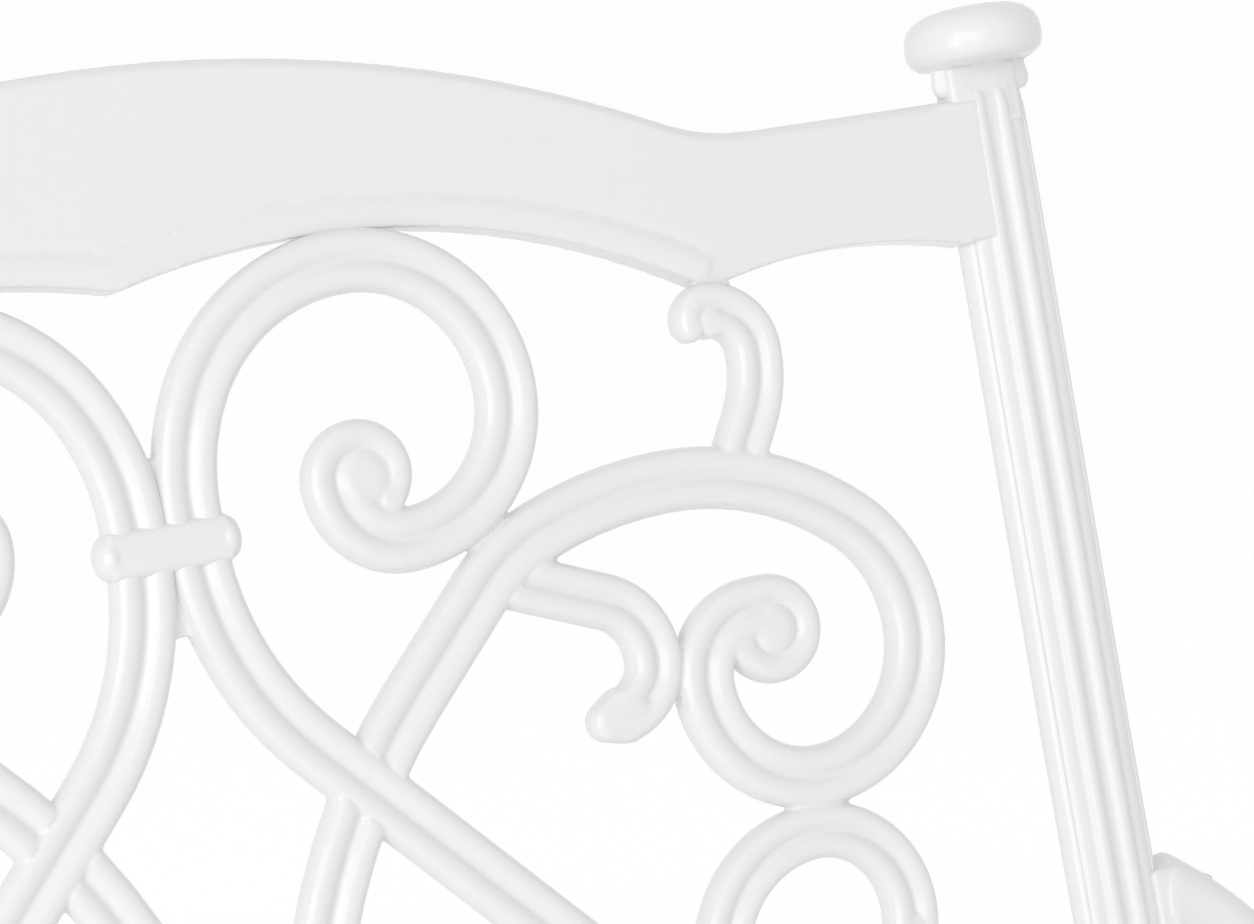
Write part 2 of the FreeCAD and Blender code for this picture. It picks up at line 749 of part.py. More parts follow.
def seat_plan():
    """The seat grille's outline: between the posts, out over the side rails, in between the front legs."""
    rear = rear_rail_front - SEAT_RAIL_THICK
    notch = back_plane_at(SEAT_HEIGHT - GRILLE_THICK) + 2 * CLEARANCE
    leg_back = front_crest - POST_DEPTH - 2 * CLEARANCE
    front = front_rail_back + SEAT_RAIL_THICK + GRILLE_OVERHANG
    rear_inner = rear_rail_end - 2 * CLEARANCE
    front_inner = front_rail_end - 2 * CLEARANCE
    half = [
        (rear_inner, rear), (rear_inner, notch), (rear_rail_end + GRILLE_OVERHANG, notch),
        (front_rail_end + GRILLE_OVERHANG, leg_back), (front_inner, leg_back), (front_inner, front)]
    return half + [(-x, forward) for x, forward in reversed(half)]


def seat_window():
    """The opening inside the grille's rim that the lattice fills."""
    rear = rear_rail_front + GRILLE_RIM
    front = front_rail_back - GRILLE_RIM
    rear_half = rear_rail_end - SIDE_RAIL_INSET - GRILLE_RIM
    front_half = front_rail_end - SIDE_RAIL_INSET - GRILLE_RIM
    return [(-rear_half, rear), (rear_half, rear), (front_half, front), (-front_half, front)]


def seat_grille():
    """A flat cast grille: a rim and a diagonal lattice."""
    window = prism(plan, polygon(seat_window()), -SEAT_HEIGHT, -rail_top)
    rim = prism(plan, polygon(seat_plan()), -SEAT_HEIGHT, -rail_top).cut(window)
    middle = (rear_rail_front + front_rail_back) / 2
    count = int(SEAT_DEPTH / LATTICE_PITCH) + 1
    bars = []
    for heading in (45, -45):
        for index in range(-count, count + 1):
            centre = moved((0, middle), heading + 90, index * LATTICE_PITCH * math.sqrt(0.5))
            bars.append(lattice_bar(centre, heading))
    lattice = bars[0].multiFuse(bars[1:]).common(window)
    return fused([rim] + lattice.Solids)


def lattice_bar(centre, heading):
    ends = [moved(centre, heading, FAR / 4), moved(centre, heading, -FAR / 4)]
    corners = [moved(ends[0], heading + 90, LATTICE_BAR / 2), moved(ends[0], heading - 90, LATTICE_BAR / 2),
               moved(ends[1], heading - 90, LATTICE_BAR / 2), moved(ends[1], heading + 90, LATTICE_BAR / 2)]
    return prism(plan, polygon(corners), -SEAT_HEIGHT, -rail_top)


def bracket(corner_x, forward):
    """A quarter-round brace from a leg's inner flank to the underside of a seat rail."""
    half = BRACKET_WIDTH / 2
    depth = BRACKET_THICK / 2
    outline = polygon([
        (-half, forward - depth), (half, forward - depth), (half, forward + depth), (-half, forward + depth)])
    start = (corner_x, rail_bottom - BRACKET_RADIUS)
    return swept(back_board, outline, start, 180, [(BRACKET_RADIUS, -90.0)])


def glide(x, forward):
    """A nylon foot with a square stem into the leg."""
    foot = cylinder(GLIDE_RADIUS, GLIDE_HEIGHT, vector(x, -forward, 0), UP)
    return foot.fuse(stem_box(x, forward, 0))


# Fasteners

def bolt(seat, grip):
    """A hexagon bolt along -X: seat is under its head, and grip is the length of its shank."""
    corner = BOLT_HEAD_FLATS / math.sqrt(3)
    board = Board(seat, FRONT, UP)
    hexagon = [moved((0, 0), 60 * index, corner) for index in range(6)]
    head = prism(board, polygon(hexagon), -BOLT_HEAD_HEIGHT, 0)
    return head.fuse(cylinder(BOLT_RADIUS, grip, seat, RIGHT * -1))


def arm_bolt():
    return bolt(arm_bolt_seat(), LUG_WIDTH + ARM_BOLT_BITE)


def seat_bolt(x, forward):
    return bolt(seat_bolt_seat(x, forward), POST_WIDTH + SEAT_BOLT_BITE)


def pair(name, shape):
    """A right-hand piece and its left-hand mirror image."""
    return {"right_" + name: shape, "left_" + name: mirrored(shape)}


def group(shapes):
    """Like pieces of the right side and their mirror images, as separate solids of one node."""
    return Part.makeCompound(shapes + [mirrored(shape) for shape in shapes])


def armchair():
    rail_on_board = crest_rail()
    lower_on_board = lower_rail()
    panel = scroll_panel().cut([rail_room(crest_outline()), rail_room(lower_outline())])
    crest = lean_back(rail_on_board)
    lower = lean_back(lower_on_board)
    pieces = {"crest_rail": crest, "lower_back_rail": lower, "back_scroll_panel": lean_back(panel)}
    for name, up in collar_heights.items():
        pieces[name + "_collar"] = lean_back(collar(up).cut(panel))
    pieces.update(pair("rear_upright", rear_upright([crest, lower])))
    pieces["finials"] = group([finial()])
    pieces.update(pair("arm", arm()))
    pieces.update(pair("front_leg", front_leg()))
    pieces["front_seat_rail"] = front_seat_rail()
    pieces["rear_seat_rail"] = rear_seat_rail()
    pieces.update(pair("side_seat_rail", side_rail()))
    pieces["seat_grille"] = seat_grille()
    pieces["front_brackets"] = group([bracket(front_rail_end, front_bolt_forward)])
    pieces["rear_brackets"] = group([bracket(rear_rail_end, rear_rail_front - BRACKET_THICK / 2)])
    pieces["glides"] = group([glide(front_x, front_foot), glide(post_x, rear_foot)])
    pieces["arm_bolts"] = group([arm_bolt()])
    seat_bolts = [seat_bolt(front_x, front_bolt_forward), seat_bolt(post_x, rear_bolt_forward)]
    pieces["seat_bolts"] = group(seat_bolts)
    return pieces


def main():
    pieces = armchair()
    box = Part.makeCompound(list(pieces.values())).optimalBoundingBox(False, False)
    centring = vector(0, -(box.YMin + box.YMax) / 2, 0)
    os.makedirs("parts", exist_ok=True)
    for name, shape in pieces.items():
        shape.translate(centring)
        shape.exportStep("parts/" + name + ".step")
        print(name, len(shape.Solids), round(shape.Volume), shape.isValid())
    print("size", round(box.XLength, 1), round(box.YLength, 1), round(box.ZLength, 1))


main()
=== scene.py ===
import math

import bpy
from mathutils import Matrix, Vector


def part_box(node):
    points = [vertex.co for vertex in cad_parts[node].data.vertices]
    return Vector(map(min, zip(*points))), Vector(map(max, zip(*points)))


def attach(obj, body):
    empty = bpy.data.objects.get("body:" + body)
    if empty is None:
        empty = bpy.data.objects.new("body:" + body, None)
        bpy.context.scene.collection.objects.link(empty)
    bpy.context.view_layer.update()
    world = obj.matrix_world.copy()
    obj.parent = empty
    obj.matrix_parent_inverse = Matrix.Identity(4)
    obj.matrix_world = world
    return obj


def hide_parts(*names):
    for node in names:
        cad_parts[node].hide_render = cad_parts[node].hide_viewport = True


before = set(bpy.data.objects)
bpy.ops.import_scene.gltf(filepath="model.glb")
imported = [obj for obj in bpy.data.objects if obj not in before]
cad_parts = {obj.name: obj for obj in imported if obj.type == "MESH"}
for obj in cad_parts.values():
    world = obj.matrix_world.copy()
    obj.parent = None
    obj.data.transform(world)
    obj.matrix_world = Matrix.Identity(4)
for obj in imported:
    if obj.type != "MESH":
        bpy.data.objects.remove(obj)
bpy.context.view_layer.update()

bl_info = {
    "name": "Scrollwork garden armchair",
    "version": (1, 0, 0),
    "blender": (4, 5, 0),
    "location": "View3D > Sidebar > Armchair",
    "description": "Dresses the frame of a white cast armchair with soft castings, finishes and a stage",
    "category": "Object",
}

# Sizes in millimetres and degrees. The back's drawing board starts at the cusp in the middle of the crest
# rail's lower edge, and the sides' boards on the floor below it, which is a set way behind the rear seat
# rail's front.
MM = 0.001
CUSP_HEIGHT = 876.0
REAR_RAIL_FRONT = 128.876
BACK_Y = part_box("rear_seat_rail")[0][1] + REAR_RAIL_FRONT * MM
MIRROR_X = Matrix.Diagonal((-1, 1, 1, 1))

# Centre lines of the scrollwork: a bend's radius and turn, left turns positive,
# or a straight run's length and no turn.
TIE_POINT = (6.3, -54.5)
LENS_PATH = [(70.0, 43.0), (77.0, 0.0), (75.0, -43.0)]
LOOP_RISE_PATH = [(6.5, 0.0), (52.0, -28.0), (43.0, -62.0)]
LOOP_FALL_PATH = [(32.5, -90.0), (29.0, -90.0), (14.5, -90.0)]
SIDE_SCROLL_PATH = [
    (190.0, -21.0), (131.0, -24.0), (28.5, 0.0), (42.0, -25.0), (95.0, -20.0), (68.0, -40.0),
    (33.3, -50.0), (30.0, -90.0), (25.0, -90.0), (15.0, -90.0), (3.5, 0.0)]
LOWER_LOOP_FALL_PATH = [(32.5, -90.0), (29.0, -75.0)]
LOWER_SIDE_PATH = SIDE_SCROLL_PATH[:8]
# A curl's radius, and its turns with how much each is tightened
LOOP_CURL = (13.3, [(0.0, -90.0), (1.3, -140.0)])
SIDE_CURL = (12.4, [(0.0, -250.0)])
EYE_OVERLAP = 0.6
CURL_TIP_RADIUS = 3.5
# A hook's start, heading and path
SIDE_HOOK = ((71.5, -73.5), -22.0, [(27.3, 0.0), (15.0, -68.0), (11.5, -80.0)])
TOP_HOOK = ((135.7, -58.2), 60.0, [(9.6, 0.0), (30.0, 30.0), (10.5, 90.0)])
CANE_HOOK = ((96.0, -193.0), 65.0, [(36.8, 0.0), (28.0, -65.0), (21.0, -112.0)])
HOOK_SLIMNESS = 0.9
# A tapered hook's reach and tip radius
HOOK_TAPER = (4.4, 4.6)
TAPER_STEPS = 6
# The top hook's last bend, how far its reeds draw in there, its buttons, and its weld under the rail
TOP_HOOK_WRAP = (5.2, 108.0)
INNER_DRAW = 0.7
OUTER_DRAW = 0.4
HOOK_TIP_RADIUS = 3.0
HOOK_LOBE_RADIUS = 3.6
HOOK_FILL_RADIUS = 5.4
HOOK_FILL_TOP = 2.6
HOOK_FILL_AHEAD = 0.6
TOP_WELD = ((132.6, -25.0, -4.5), (141.8, -17.0, -0.2))
WELD_EDGE = 1.0
# The web between two tied bars, as opposite corners from the tie
TIE_WEB = ((-1.5, -19.0, -4.9), (4.5, 19.0, 0.6))

# Right halves of sections, from the front's middle round to the back's middle: across and outwards
BAR_HALF = [
    (0.0, 2.0), (0.5, 2.15), (1.4, 2.95), (2.2, 3.35), (3.5, 3.6), (4.9, 3.4), (6.0, 2.65), (6.8, 1.1),
    (7.1, -1.0), (6.5, -3.8), (4.9, -5.0), (0.0, -5.1)]
TAIL_HALF = [
    (0.0, 3.5), (1.4, 3.25), (2.4, 2.5), (3.0, 1.0), (3.1, -1.2), (2.8, -3.8), (1.8, -5.0), (0.0, -5.0)]
REED_OUTLINE = [
    (-3.6, 2.0), (-3.0, 2.2), (-2.0, 3.0), (0.0, 3.55), (1.4, 3.35), (2.5, 2.6), (3.3, 1.0), (3.55, -1.0),
    (2.9, -3.9), (1.3, -5.0), (-3.6, -5.0)]
POST_HALF = [
    (0.0, -0.8), (0.7, -0.72), (1.5, -0.3), (2.3, 0.2), (3.2, 0.42), (4.2, 0.15), (5.0, -0.6), (5.6, -1.05),
    (6.4, -1.05), (7.4, -1.2), (8.7, -1.75), (9.15, -2.25), (9.5, -2.0), (10.0, -2.3), (10.9, -3.3),
    (11.5, -4.5), (11.65, -5.8), (11.3, -7.3), (9.9, -8.6), (7.6, -9.1), (0.0, -9.1)]
ARM_HALF = [
    (0.0, 0.05), (4.4, -0.15), (8.2, -1.5), (10.9, -3.8), (12.0, -6.4), (11.9, -10.0), (9.6, -12.8),
    (0.0, -13.1)]
REED_MIDDLE = 3.55
REED_TOP = 3.5
BAR_RADIUS = 7.1
BAR_BACK = -5.0
# A button's crown as shares of its radius and depths below its top, and its foot as insets and heights
BUTTON_CROWN = [(0.0, 0.0), (0.55, 0.1), (0.85, 0.8), (1.0, 2.6)]
BUTTON_FOOT = [(0.0, -2.2), (0.9, -4.4), (2.0, BAR_BACK)]
# The room that a bar keeps clear of other bars: how far inside its flanks, and half its height
ROOM_MARGIN = 1.1
ROOM_HEIGHT = 9.0

# Crest rail: the bead along its arches, and the end that laps onto the post as opposite corners
ARCH_CENTRE = (45.0, -173.986)
ARCH_RADIUS = 179.711
BEAD_END = 137.0
BEAD_HALF = [(0.0, 0.5), (1.3, 0.45), (2.4, 0.15), (3.2, -0.5), (3.5, -1.5), (0.0, -1.6)]
BEAD_RISE = 3.7
CREST_LAP = ((203.0, -18.9, -6.0), (214.2, 13.7, 0.0))
LAP_EDGE = 0.6

# Collars: the right half of the band's section, and the turned knobs at its ends as radius and height
COLLAR_HALF = [
    (0.0, 4.4), (2.6, 4.35), (4.1, 3.9), (5.0, 2.9), (5.3, 1.4), (5.3, -2.2), (4.6, -4.5), (3.0, -5.0),
    (0.0, -5.0)]
COLLAR_KNOB = [
    (0.0, -3.0), (2.4, -2.8), (4.1, -1.9), (4.9, -0.5), (4.9, 0.5), (4.1, 1.9), (2.4, 2.8), (0.0, 3.0)]
COLLAR_REACH = 13.2
COLLAR_GRAIN = 0.4

# Posts and legs: where a bar starts forward of the cusp line and above the floor, and its bends; the last
# run goes far and is cut at the foot, and the sway is a shift outwards at heights above the floor
FAR = 600.0
POST_X = 215.0
POST_TOP = 16.0
POST_PATH = [(2.0, 0.0), (187.0, 0.0), (336.356, 0.0), (110.0, -31.0), (FAR, 0.0)]
POST_SWAY = [(0.0, 0.0), (420.0, 0.0), (710.0, -0.9), (892.0, 2.3)]
FRONT_X = 238.0
FRONT_START = (459.722, 626.058)
FRONT_SWAY = [(0.0, 0.0), (CUSP_HEIGHT, 0.0)]
FRONT_PATH = [(21.0, 0.0), (120.0, 35.0), (120.0, -35.0), (347.4, 0.0), (250.0, 12.0), (FAR, 0.0)]
FOOT_HEIGHT = 6.0
# Plain blocks that close the valley, as opposite corners on the back's board or the front leg's side view
POST_NECK = ((207.3, 7.0, -8.5), (225.9, 22.2, -0.45))
REAR_KNUCKLE = ((210.3, -509.3, -6.2), (219.7, -474.2, 0.8))
FRONT_KNUCKLE = ((496.9, 384.0, -4.7), (503.9, 418.0, 4.7))
NECK_EDGE = 1.6
KNUCKLE_EDGE = 0.9

# Finial, turned about the post's axis: how far that lies behind the back's board, its shift outwards, how
# far its ring is flattened front to back and up to which height, and its profile as radius and height
AXIS_DEPTH = 4.25
FINIAL_SHIFT = 2.8
RING_TOP = 21.8
RING_DEPTH = 0.3
FINIAL_STEPS = 72
FINIAL_PROFILE = [
    (0.0, 14.8), (10.6, 14.8), (11.9, 15.3), (12.7, 16.4), (13.0, 17.8), (12.8, 19.4), (12.5, 20.6),
    (12.7, 21.5), (13.9, 22.4), (15.3, 23.6), (16.05, 25.4), (16.25, 27.4), (16.0, 29.6), (15.1, 31.7),
    (13.3, 33.4), (10.6, 34.6), (7.1, 35.2), (3.4, 35.45), (0.0, 35.5)]

# Arms: middle and inner side, start and bends, with short runs where the lug flares; the rear lug's share
# of the width, where it ends and has flared out, and the root that joins it to the post
ARM_X = 238.2
ARM_INNER = 226.2
ARM_START = (32.258, 710.827)
ARM_PATH = (
    [(2.0, 0.0), (150.0, -16.0)] + [(8.0, 0.0)] * 5
    + [(172.0, 0.0), (220.0, 16.0), (145.69, 0.0), (26.0, -200.0)])
LUG_SHARE = 0.42
LUG_END = 70.0
FLARE_END = 116.0
LUG_ROOT = ((222.6, -187.0, -8.3), (231.0, -171.0, -0.2))
ROOT_EDGE = 0.6

# Bolts: the edges' chamfer, where the arm bolts' heads begin, and the share of their width that is kept
BOLT_CHAMFER = 0.45
LUG_OUTER = 236.0
HEAD_SHARE = 0.56

# Glides: where each stands, sideways and forward of the cusp line, and its turned profile
GLIDE_PLACES = [(238.0, 517.172), (215.0, 35.105)]
GLIDE_PROFILE = [
    (0.0, 0.0), (5.6, 0.0), (6.9, 0.35), (7.7, 1.2), (8.0, 2.4), (8.0, 4.6), (7.6, 5.6), (6.8, 6.0),
    (0.0, 6.0)]

# Melted castings: the most triangles, the rounds that smooth them, and a crease that leaves no edge sharp
SCROLL_TRIANGLES = 190000
CASTING_TRIANGLES = 150000
RAIL_ROUNDS = 8
COLLAR_ROUNDS = 8
ARM_ROUNDS = 6
MELTED_CREASE = 180.0
# Other meshes: their crease, the steps of a turning and of a rounded edge, levels of subdivision, the edges
# that are sharp enough to round, and what counts as one point and as one flat face
CREASE = 40.0
TURN_STEPS = 48
EDGE_STEPS = 3
SUBDIVISIONS = 2
SHARP_ANGLE = 35.0
RING_GAP = 0.002
MERGE_GAP = 0.005
FLAT_ANGLE = 0.5

# Sockets of a Mix node that mixes colours
MIX_FIRST, MIX_SECOND, MIX_RESULT = 6, 7, 2

# Stage, in metres and degrees: lamps as place, aim and size, the floor's glow, and the camera's turn and
# place from the cusp
STRIP_LAMP = ((-1.75, -0.9, 1.25), (0.0, 0.2, 0.7), (0.5, 1.8))
FRONT_LAMP = ((-1.3, -2.1, 1.6), (0.0, 0.1, 0.75), (1.6, 1.6))
FLOOR_COLOUR = (0.93, 0.93, 0.93, 1.0)
FLOOR_GLOW = 0.305
NEAR_GLOW_SHARE = 0.45
GLOW_RISE = (0.6, 2.4)
WHITE = (1.0, 1.0, 1.0, 1.0)
CAMERA_AZIMUTH, CAMERA_ELEVATION, CAMERA_ROLL = 25.97, 13.79, -3.96
CAMERA_PLACE = (-0.2621, -0.7745, 0.155)


class CastingSizes(bpy.types.PropertyGroup):
    """Sizes of the soft castings."""

    recline: bpy.props.FloatProperty(
        name="Recline", description="Lean of the back from upright", default=math.radians(15.0),
        subtype="ANGLE", unit="ROTATION")
    scroll_grain: bpy.props.FloatProperty(
        name="Scrollwork grain", description="Size of the cells that melt the bars into one casting",
        default=0.45 * MM, subtype="DISTANCE", unit="LENGTH", precision=5)
    rail_grain: bpy.props.FloatProperty(
        name="Rail grain", description="Size of the cells that melt a rail and its beads",
        default=0.6 * MM, subtype="DISTANCE", unit="LENGTH", precision=5)
    arm_grain: bpy.props.FloatProperty(
        name="Arm grain", description="Size of the cells that round an arm",
        default=0.7 * MM, subtype="DISTANCE", unit="LENGTH", precision=5)
    softness: bpy.props.IntProperty(
        name="Softness", description="Rounds of smoothing on a casting's edges and fillets", default=5)
    edge: bpy.props.FloatProperty(
        name="Edge", description="Width of the rounded edges of rails, grille and brackets",
        default=1.2 * MM, subtype="DISTANCE", unit="LENGTH", precision=5)
    bend_step: bpy.props.FloatProperty(
        name="Bend step", description="Turn between two rings of a bent bar", default=math.radians(4.0),
        subtype="ANGLE", unit="ROTATION")


class Finishes(bpy.types.PropertyGroup):
    """Colour of the coat."""

    coat: bpy.props.FloatVectorProperty(
        name="Coat", description="Colour of the powder coat", size=3, default=(0.84, 0.84, 0.845),
        subtype="COLOR", min=0.0, max=1.0)


class StageSizes(bpy.types.PropertyGroup):
    """Floor, light and camera."""

    floor: bpy.props.FloatProperty(
        name="Floor", description="Side of the floor", default=60.0, subtype="DISTANCE", unit="LENGTH")
    room: bpy.props.FloatProperty(
        name="Room light", description="Strength of the even light of the white room", default=0.7)
    strip: bpy.props.FloatProperty(
        name="Strip light", description="Power of the tall lamp on the left", default=10.0, unit="POWER")
    front: bpy.props.FloatProperty(
        name="Front light", description="Power of the lamp in front", default=15.5, unit="POWER")
    lens: bpy.props.FloatProperty(
        name="Lens", description="Focal length of the camera", default=113.16, unit="CAMERA")


class Shade:
    """A socket of a material's nodes, so that shader maths is written as expressions."""

    def __init__(self, tree, socket=None):
        self.tree = tree
        self.socket = socket

    def node(self, kind, settings, sockets, output=0):
        """Adds a node with its settings and its sockets' values or links, and gives one output."""
        made = self.tree.nodes.new(kind)
        for name, value in settings.items():
            setattr(made, name, value)
        for name, value in sockets.items():
            if isinstance(value, Shade):
                self.tree.links.new(value.socket, made.inputs[name])
            else:
                made.inputs[name].default_value = value
        return Shade(self.tree, made.outputs[output] if made.outputs else None)

    def maths(self, operation, first, second):
        return self.node("ShaderNodeMath", {"operation": operation}, {0: first, 1: second})

    def __add__(self, other):
        return self.maths("ADD", self, other)

    def __radd__(self, other):
        return self.maths("ADD", other, self)

    def __sub__(self, other):
        return self.maths("SUBTRACT", self, other)

    def __rsub__(self, other):
        return self.maths("SUBTRACT", other, self)

    def __mul__(self, other):
        return self.maths("MULTIPLY", self, other)

    def __rmul__(self, other):
        return self.maths("MULTIPLY", other, self)


def new_material(name):
    """A material with only its output node, and the shade that its nodes are added from."""
    material = bpy.data.materials.new(name)
    material.use_nodes = True
    tree = material.node_tree
    tree.nodes.clear()
    return material, Shade(tree)


def set_surface(shade, surface):
    shade.node("ShaderNodeOutputMaterial", {}, {"Surface": surface})


def tint(colour, factor):
    return tuple(min(1.0, part * factor) for part in colour) + (1.0,)


def noise(shade, place, scale, detail):
    return shade.node(
        "ShaderNodeTexNoise", {"noise_dimensions": "3D"},
        {"Vector": place, "Scale": scale, "Detail": detail, "Roughness": 0.55})


def coat_material():
    """White powder coat over a casting: soft orange peel, uneven flow and a trace of dust."""
    material, shade = new_material("powder_coat")
    colour = bpy.context.scene.armchair_finishes.coat
    place = shade.node("ShaderNodeTexCoord", {}, {}, "Object")
    flow = noise(shade, place, scale=28.0, detail=3.0)
    peel = noise(shade, place, scale=620.0, detail=1.0)
    cloud = noise(shade, place, scale=7.0, detail=4.0)
    base = shade.node(
        "ShaderNodeMix", {"data_type": "RGBA"},
        {"Factor": cloud, MIX_FIRST: tint(colour, 0.975), MIX_SECOND: tint(colour, 1.02)}, MIX_RESULT)
    height = flow * 0.7 + peel * 0.06
    bump = shade.node("ShaderNodeBump", {}, {"Strength": 0.35, "Distance": 0.0009, "Height": height})
    surface = shade.node("ShaderNodeBsdfPrincipled", {}, {
        "Base Color": base, "Roughness": 0.14 + flow * 0.12, "Normal": bump, "IOR": 1.5})
    set_surface(shade, surface)
    return material


def material_of(slot):
    """The powder coat for the castings, and the frame's own plain finish for bolts and glides."""
    if slot == "white_coat":
        return bpy.data.materials.get("powder_coat") or coat_material()
    return bpy.data.materials[slot]


def deselect_all():
    if bpy.context.mode != "OBJECT":
        bpy.ops.object.mode_set(mode="OBJECT")
    bpy.ops.object.select_all(action="DESELECT")


def select_only(pieces):
    deselect_all()
    for piece in pieces:
        piece.select_set(True)
    bpy.context.view_layer.objects.active = pieces[0]


def edit_all(piece):
    """Opens a piece in edit mode with all of it selected."""
    select_only([piece])
    bpy.ops.object.mode_set(mode="EDIT")
    bpy.ops.mesh.select_all(action="SELECT")


def named(piece, name):
    piece.name = name
    piece.data.name = name
    return piece


def direction(heading):
    angle = math.radians(heading)
    return Vector((math.cos(angle), math.sin(angle)))


def moved(point, heading, distance):
    return Vector(point) + direction(heading) * distance


def path_step(at, heading, size, turn):
    """The point and heading after one bend or straight run, and the bend's centre."""
    if not turn:
        return moved(at, heading, size), heading, None
    side = math.copysign(90, turn)
    centre = moved(at, heading + side, size)
    return moved(centre, heading + turn - side, size), heading + turn, centre


def path_end(at, heading, path):
    for size, turn in path:
        at, heading = path_step(at, heading, size, turn)[:2]
    return at, heading


MIDDLE_UP = path_end(TIE_POINT, -90, LENS_PATH)[0][1]
SIDE_START = (TIE_POINT[0], MIDDLE_UP)


def both_sides(half):
    """A whole section from its right half."""
    return half + [(-across, out) for across, out in reversed(half[1:-1])]


def ring(name, points):
    """A closed ring of edges through points in millimetres, left selected in edit mode."""
    deselect_all()
    bpy.ops.mesh.primitive_circle_add(vertices=len(points), radius=1.0)
    piece = named(bpy.context.object, name)
    for vertex, point in zip(piece.data.vertices, points):
        vertex.co = Vector(point) * MM
    bpy.ops.object.mode_set(mode="EDIT")
    bpy.ops.mesh.select_mode(type="VERT")
    bpy.ops.mesh.select_all(action="SELECT")
    return piece


def close_ends():
    """Merges the rings that meet, fills the open ends and turns all faces outwards."""
    bpy.ops.mesh.select_all(action="SELECT")
    bpy.ops.mesh.remove_doubles(threshold=RING_GAP * MM)
    bpy.ops.mesh.select_all(action="DESELECT")
    bpy.ops.mesh.select_non_manifold(extend=False)
    bpy.ops.mesh.fill_holes(sides=0)
    bpy.ops.mesh.select_all(action="SELECT")
    bpy.ops.mesh.normals_make_consistent(inside=False)
    bpy.ops.object.mode_set(mode="OBJECT")


def swept(name, outline, at, heading, path, edgewise=False):
    """A bar of one section along bends and straight runs in the XY plane; edgewise turns the section."""
    left = direction(heading + 90)
    points = []
    for first, second in outline:
        side, out = (second, first) if edgewise else (first, second)
        points.append((at[0] + left[0] * side, at[1] + left[1] * side, out))
    piece = ring(name, points)
    step = math.degrees(bpy.context.scene.armchair_castings.bend_step)
    for size, turn in path:
        along = direction(heading)
        at, heading, centre = path_step(at, heading, size, turn)
        if centre:
            bpy.ops.mesh.spin(
                steps=max(2, round(abs(turn) / step)), angle=math.radians(abs(turn)),
                center=(centre[0] * MM, centre[1] * MM, 0.0), axis=(0.0, 0.0, -math.copysign(1.0, turn)))
        else:
            run = along * size * MM
            bpy.ops.mesh.extrude_region_move(TRANSFORM_OT_translate={"value": (run[0], run[1], 0.0)})
    close_ends()
    return piece


def turned(name, profile, centre=(0.0, 0.0), steps=TURN_STEPS):
    """A solid turned about Z at the centre; its profile runs from axis to axis as radius and height."""
    points = [(centre[0] + radius, centre[1], height) for radius, height in profile]
    piece = ring(name, points)
    bpy.ops.mesh.select_all(action="DESELECT")
    bpy.ops.object.mode_set(mode="OBJECT")
    last = len(points) - 1
    for edge in piece.data.edges:
        edge.select = set(edge.vertices) == {0, last}
    bpy.ops.object.mode_set(mode="EDIT")
    bpy.ops.mesh.select_mode(type="EDGE")
    bpy.ops.mesh.delete(type="EDGE")
    bpy.ops.mesh.select_mode(type="VERT")
    bpy.ops.mesh.select_all(action="SELECT")
    bpy.ops.mesh.spin(
        steps=steps, angle=math.tau, center=(centre[0] * MM, centre[1] * MM, 0.0), axis=(0.0, 0.0, 1.0))
    close_ends()
    return piece


def apply_modifier(piece, kind, **settings):
    select_only([piece])
    modifier = piece.modifiers.new(kind.lower(), kind)
    for name, value in settings.items():
        setattr(modifier, name, value)
    bpy.ops.object.modifier_apply(modifier=modifier.name)


def joined(pieces, name):
    select_only(pieces)
    bpy.ops.object.join()
    return named(pieces[0], name)


def placed(piece, matrix):
    """Moves a piece by the matrix and bakes that into its mesh."""
    piece.matrix_world = matrix
    select_only([piece])
    bpy.ops.object.transform_apply(location=True, rotation=True, scale=True)
    return piece


def copied(piece, name, matrix):
    """A copy of a piece with its own mesh, moved by the matrix."""
    select_only([piece])
    bpy.ops.object.duplicate()
    return placed(named(bpy.context.object, name), matrix)


def face_outwards(piece):
    edit_all(piece)
    bpy.ops.mesh.normals_make_consistent(inside=False)
    bpy.ops.object.mode_set(mode="OBJECT")
    return piece


def mirror_image(piece, name):
    """A copy of a right-hand piece, mirrored to the left."""
    return face_outwards(copied(piece, name, MIRROR_X))


def finished(piece, slot, *nodes, crease=CREASE):
    """Shades, paints and seats a piece that stands for CAD nodes; edges past the crease stay sharp."""
    select_only([piece])
    bpy.ops.object.shade_smooth_by_angle(angle=math.radians(crease))
    piece.data.materials.clear()
    piece.data.materials.append(material_of(slot))
    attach(piece, "root")
    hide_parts(*nodes)
    return piece


def finished_pair(right, node, crease=CREASE):
    """Finishes a coated right-hand piece and its mirror image, for a node of each side or a shared one."""
    left = mirror_image(right, right.name.replace("right_", "left_"))
    finished(right, "white_coat", node, crease=crease)
    finished(left, "white_coat", node.replace("right_", "left_"), crease=crease)


def melted(piece, voxel, rounds):
    """Melts overlapping solids into one casting with soft fillets."""
    apply_modifier(piece, "REMESH", mode="VOXEL", voxel_size=voxel, use_smooth_shade=True)
    apply_modifier(piece, "SMOOTH", factor=0.5, iterations=rounds)
    return piece


def thinned(piece, most):
    """Thins a piece's mesh to at most that many triangles."""
    piece.data.calc_loop_triangles()
    count = len(piece.data.loop_triangles)
    if count > most:
        apply_modifier(piece, "TRIANGULATE")
        apply_modifier(piece, "DECIMATE", ratio=most / count)


def back_matrix():
    """From the flat drawing of the back, with X across, Y up and Z outwards, to its reclined place."""
    sizes = bpy.context.scene.armchair_castings
    lean = Matrix.Rotation(math.radians(90.0) - sizes.recline, 4, "X")
    return Matrix.Translation((0.0, BACK_Y, CUSP_HEIGHT * MM)) @ lean


